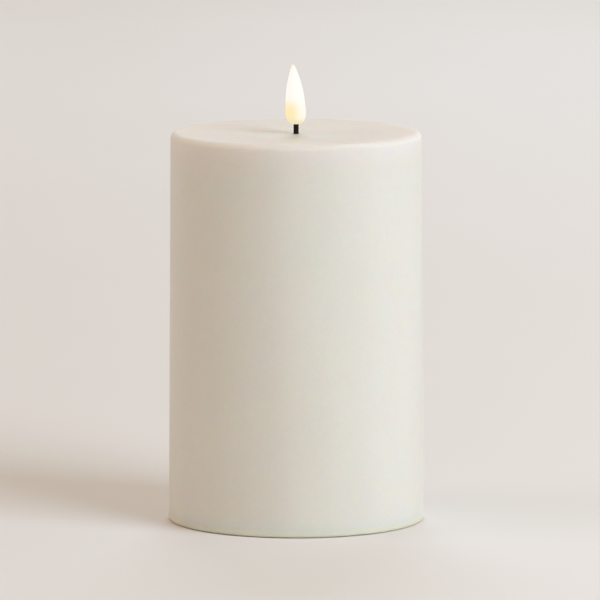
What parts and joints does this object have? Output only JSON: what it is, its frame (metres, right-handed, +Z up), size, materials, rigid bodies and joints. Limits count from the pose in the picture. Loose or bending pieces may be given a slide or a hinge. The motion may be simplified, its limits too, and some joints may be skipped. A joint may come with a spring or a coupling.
{
  "type": "flameless LED pillar candle",
  "caption": "Round pillar candle with a wax shell, a thin wick and a lit moulded flame; a screwed base holds the battery box, slide switch and control board.",
  "frame": {"origin": "on the candle's vertical axis, on the surface that its rubber feet stand on", "axes": "+Z up the wick; -Y towards the front; the flame leans towards -X; the battery door is hinged at its -X edge"},
  "size_m": [0.099, 0.099, 0.1765],
  "materials": {
    "ivory_wax": "hand-poured ivory wax, satin, slightly translucent",
    "white_plastic": "fine-textured moulded plastic",
    "grey_rubber": "soft matt rubber",
    "zinc_steel": "zinc-plated",
    "phenolic_brown": "pressed phenolic sheet",
    "black_plastic": "satin",
    "nickel": "nickel-plated spring steel",
    "cell_jacket": "printed film over a steel can",
    "board_green": "solder mask on glass-fibre laminate",
    "component_black": "moulded epoxy",
    "component_can": "drawn can",
    "wire_red": "PVC sleeve",
    "wire_black": "PVC sleeve",
    "wire_white": "PVC sleeve",
    "wick_black": "matt sleeve",
    "led_phosphor": "phosphor-coated emitter",
    "flame_diffuser": "frosted translucent diffuser, lit warm white"
  },
  "bodies": {
    "body": {"wax_shell": "ivory_wax", "inner_liner": "white_plastic", "base_plate": "white_plastic", "battery_box": "white_plastic", "foot_1": "grey_rubber", "foot_2": "grey_rubber", "foot_3": "grey_rubber", "foot_4": "grey_rubber", "base_screw_1": "zinc_steel", "base_screw_2": "zinc_steel", "base_screw_3": "zinc_steel", "base_screw_4": "zinc_steel", "box_screw_1": "zinc_steel", "box_screw_2": "zinc_steel", "board_screw_1": "zinc_steel", "board_screw_2": "zinc_steel", "switch_screw_1": "zinc_steel", "switch_screw_2": "zinc_steel", "switch_housing": "zinc_steel", "switch_wafer": "phenolic_brown", "positive_contact": "nickel", "negative_contact": "nickel", "bridge_contact": "nickel", "negative_spring": "nickel", "bridge_spring": "nickel", "battery_cell_1": "cell_jacket", "battery_cell_2": "cell_jacket", "circuit_board": "board_green", "controller_chip": "component_black", "boost_inductor": "component_black", "resistor_1": "component_black", "resistor_2": "component_black", "resistor_3": "component_black", "smoothing_capacitor": "component_can", "timing_crystal": "component_can", "battery_wire_positive": "wire_red", "led_lead_positive": "wire_red", "battery_wire_negative": "wire_black", "led_lead_negative": "wire_black", "switch_wire_1": "wire_white", "switch_wire_2": "wire_white", "switch_wire_3": "wire_white", "wick_sleeve": "wick_black", "led_filament": "led_phosphor", "flame_bulb": "flame_diffuser"},
    "door": {"battery_door": "white_plastic"},
    "knob": {"switch_knob": "black_plastic"}
  },
  "joints": [
    {"name": "door_hinge", "type": "hinge", "parent": "body", "child": "door", "pos_m": [-0.0285, 0.002, 0.002], "axis": [0, 1, 0], "range_deg": [0, 95]},
    {"name": "switch_slide", "type": "slide", "parent": "body", "child": "knob", "axis": [1, 0, 0], "range_m": [0, 0.004]}
  ]
}
